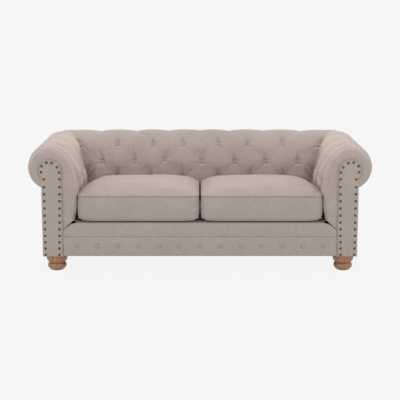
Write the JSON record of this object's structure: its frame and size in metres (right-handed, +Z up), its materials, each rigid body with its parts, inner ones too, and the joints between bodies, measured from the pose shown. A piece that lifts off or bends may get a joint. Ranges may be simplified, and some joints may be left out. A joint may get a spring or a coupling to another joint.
{
  "type": "chesterfield sofa",
  "caption": "Deep-buttoned sofa with rolled arms and back at one height, loose boxed seat cushions that lift out, arched nailed arm facings and turned wooden feet",
  "frame": {"origin": "on the floor, at the middle of the sofa's width and depth", "axes": "+X to the right as seen from the front, +Y from the front to the back, +Z up"},
  "size_m": [2.1, 0.9635, 0.79],
  "materials": {
    "upholstery": "woven, matt, greige",
    "piping_cloth": "woven, matt, greige, over cord",
    "button_cloth": "woven, matt, greige, over button shells",
    "platform_cloth": "plain lining cloth",
    "dust_cloth": "non-woven black cloth",
    "webbing": "jute webbing",
    "cushion_foam": "upholstery foam",
    "frame_wood": "planed, unfinished",
    "frame_board": "plywood, unfinished",
    "turned_wood": "light oak, satin",
    "steel": "drawn wire and plated fittings",
    "nail_bronze": "aged bronze",
    "glide_felt": "felt"
  },
  "bodies": {
    "sofa": {"front_seat_rail": "frame_wood", "back_seat_rail": "frame_wood", "side_seat_rail_left": "frame_wood", "side_seat_rail_right": "frame_wood", "centre_seat_rail": "frame_wood", "corner_blocks": "frame_wood", "arm_front_board_left": "frame_board", "arm_front_board_right": "frame_board", "rear_post_left": "frame_wood", "rear_post_right": "frame_wood", "arm_ribs_left": "frame_board", "arm_ribs_right": "frame_board", "arm_top_rail_left": "frame_wood", "arm_top_rail_right": "frame_wood", "arm_tack_rail_left": "frame_wood", "arm_tack_rail_right": "frame_wood", "back_ribs": "frame_board", "back_top_rail": "frame_wood", "back_tack_rail": "frame_wood", "arm_webbing_left": "webbing", "arm_webbing_right": "webbing", "back_webbing": "webbing", "seat_springs": "steel", "spring_clips": "steel", "seat_platform": "platform_cloth", "dust_cover": "dust_cloth", "border_upper": "upholstery", "border_lower": "upholstery", "border_buttons": "button_cloth", "arm_pad_left": "upholstery", "arm_pad_right": "upholstery", "back_pad": "upholstery", "arm_buttons_left": "button_cloth", "arm_buttons_right": "button_cloth", "back_buttons": "button_cloth", "outer_arm_panel_left": "upholstery", "outer_arm_panel_right": "upholstery", "outer_back_panel": "upholstery", "arm_front_pad_left": "upholstery", "arm_front_pad_right": "upholstery", "arm_facing_left": "upholstery", "arm_facing_right": "upholstery", "facing_piping_left": "piping_cloth", "facing_piping_right": "piping_cloth", "facing_nails_left": "nail_bronze", "facing_nails_right": "nail_bronze", "foot_front_left": "turned_wood", "foot_front_right": "turned_wood", "foot_rear_left": "turned_wood", "foot_rear_right": "turned_wood", "foot_bolts": "steel", "foot_inserts": "steel", "foot_glides": "glide_felt"},
    "cushion_left": {"cushion_cover_left": "upholstery", "cushion_core_left": "cushion_foam", "cushion_welts_left": "piping_cloth"},
    "cushion_right": {"cushion_cover_right": "upholstery", "cushion_core_right": "cushion_foam", "cushion_welts_right": "piping_cloth"}
  },
  "joints": [
    {"name": "cushion_left_lift", "type": "slide", "parent": "sofa", "child": "cushion_left", "axis": [0, 0, 1], "range_m": [0, 0.5]},
    {"name": "cushion_right_lift", "type": "slide", "parent": "sofa", "child": "cushion_right", "axis": [0, 0, 1], "range_m": [0, 0.5]}
  ]
}
